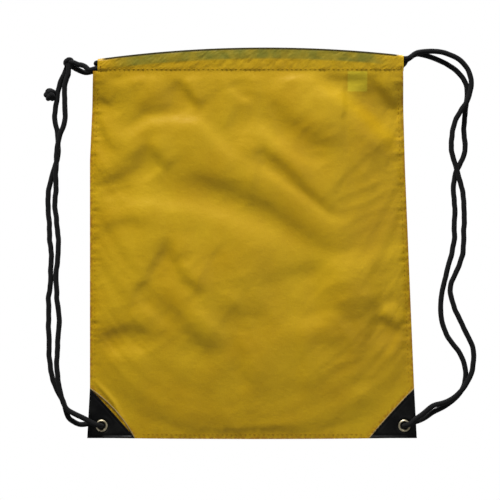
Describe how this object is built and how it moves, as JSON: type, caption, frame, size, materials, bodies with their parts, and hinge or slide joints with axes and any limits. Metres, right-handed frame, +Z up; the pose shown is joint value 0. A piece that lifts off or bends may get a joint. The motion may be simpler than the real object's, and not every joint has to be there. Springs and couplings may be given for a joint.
{
  "type": "drawstring backpack",
  "caption": "Flat cloth drawstring bag worn as a backpack, with leather corner patches, brass eyelets and black cord straps that pull the mouth shut.",
  "frame": {"origin": "middle of the bag's bottom edge, in the plane where the side seams meet", "axes": "+Z up from the bottom seam to the mouth, front panel faces -Y, +X to the viewer's right"},
  "size_m": [0.468, 0.0266, 0.4215],
  "materials": {
    "mustard_cloth": "satin",
    "black_leather": "satin",
    "black_cord": "matte",
    "brass_ring": "satin",
    "thread": "matte",
    "label_cloth": "matte"
  },
  "bodies": {
    "bag": {"back_hem": "mustard_cloth", "back_hem_stitching": "thread", "back_left_patch": "black_leather", "back_panel": "mustard_cloth", "back_right_patch": "black_leather", "bottom_seam_stitching": "thread", "care_label": "label_cloth", "front_hem": "mustard_cloth", "front_hem_stitching": "thread", "front_left_patch": "black_leather", "front_panel": "mustard_cloth", "front_right_patch": "black_leather", "left_eyelet": "brass_ring", "left_seam_stitching": "thread", "left_washer": "brass_ring", "patch_stitching": "thread", "right_eyelet": "brass_ring", "right_seam_stitching": "thread", "right_washer": "brass_ring", "tunnel_end_stitching": "thread"},
    "left_cord": {"left_tunnel_cord": "black_cord", "left_upper_knot": "black_cord"},
    "right_cord": {"right_tunnel_cord": "black_cord", "right_top_bend": "black_cord"},
    "left_turn": {"left_eyelet_cord": "black_cord", "left_low_bend": "black_cord"},
    "right_turn": {"right_eyelet_cord": "black_cord", "right_low_bend": "black_cord"},
    "left_strap": {"left_strand_front": "black_cord", "left_strand_back": "black_cord", "stopper_knot": "black_cord"},
    "right_strap": {"right_strand_front": "black_cord", "right_strand_back": "black_cord"}
  },
  "joints": [
    {"name": "right_cord_pull", "type": "hinge", "parent": "bag", "child": "right_cord", "pos_m": [0.015, 0, -0.9035], "axis": [0, 1, 0], "range_deg": [0, 2.17], "deforming": ["front_hem", "back_hem"]},
    {"name": "left_cord_pull", "type": "hinge", "parent": "bag", "child": "left_cord", "pos_m": [0.015, 0, -0.9035], "axis": [0, -1, 0], "range_deg": [0, 2.17], "deforming": ["front_hem", "back_hem"]},
    {"name": "right_strap_lean", "type": "hinge", "parent": "bag", "child": "right_turn", "pos_m": [0.1645, 0, 0.0135], "axis": [0, 1, 0], "range_deg": [0, 7.23]},
    {"name": "left_strap_lean", "type": "hinge", "parent": "bag", "child": "left_turn", "pos_m": [-0.1625, 0, 0.0135], "axis": [0, -1, 0], "range_deg": [0, 7.32]},
    {"name": "right_strap_swing", "type": "hinge", "parent": "right_turn", "child": "right_strap", "pos_m": [0.193, 0, 0.029], "axis": [0.0572, 0, -0.9984], "range_deg": [-90, 100], "deforming": ["right_low_bend", "right_top_bend"]},
    {"name": "left_strap_swing", "type": "hinge", "parent": "left_turn", "child": "left_strap", "pos_m": [-0.201, 0, 0.0335], "axis": [0.0081, 0, 1], "range_deg": [-90, 100], "deforming": ["left_low_bend"]}
  ],
  "couplings": [
    {"joint": "right_strap_lean", "follows": "right_cord_pull", "ratio": 3.307},
    {"joint": "left_strap_lean", "follows": "left_cord_pull", "ratio": 3.349}
  ]
}
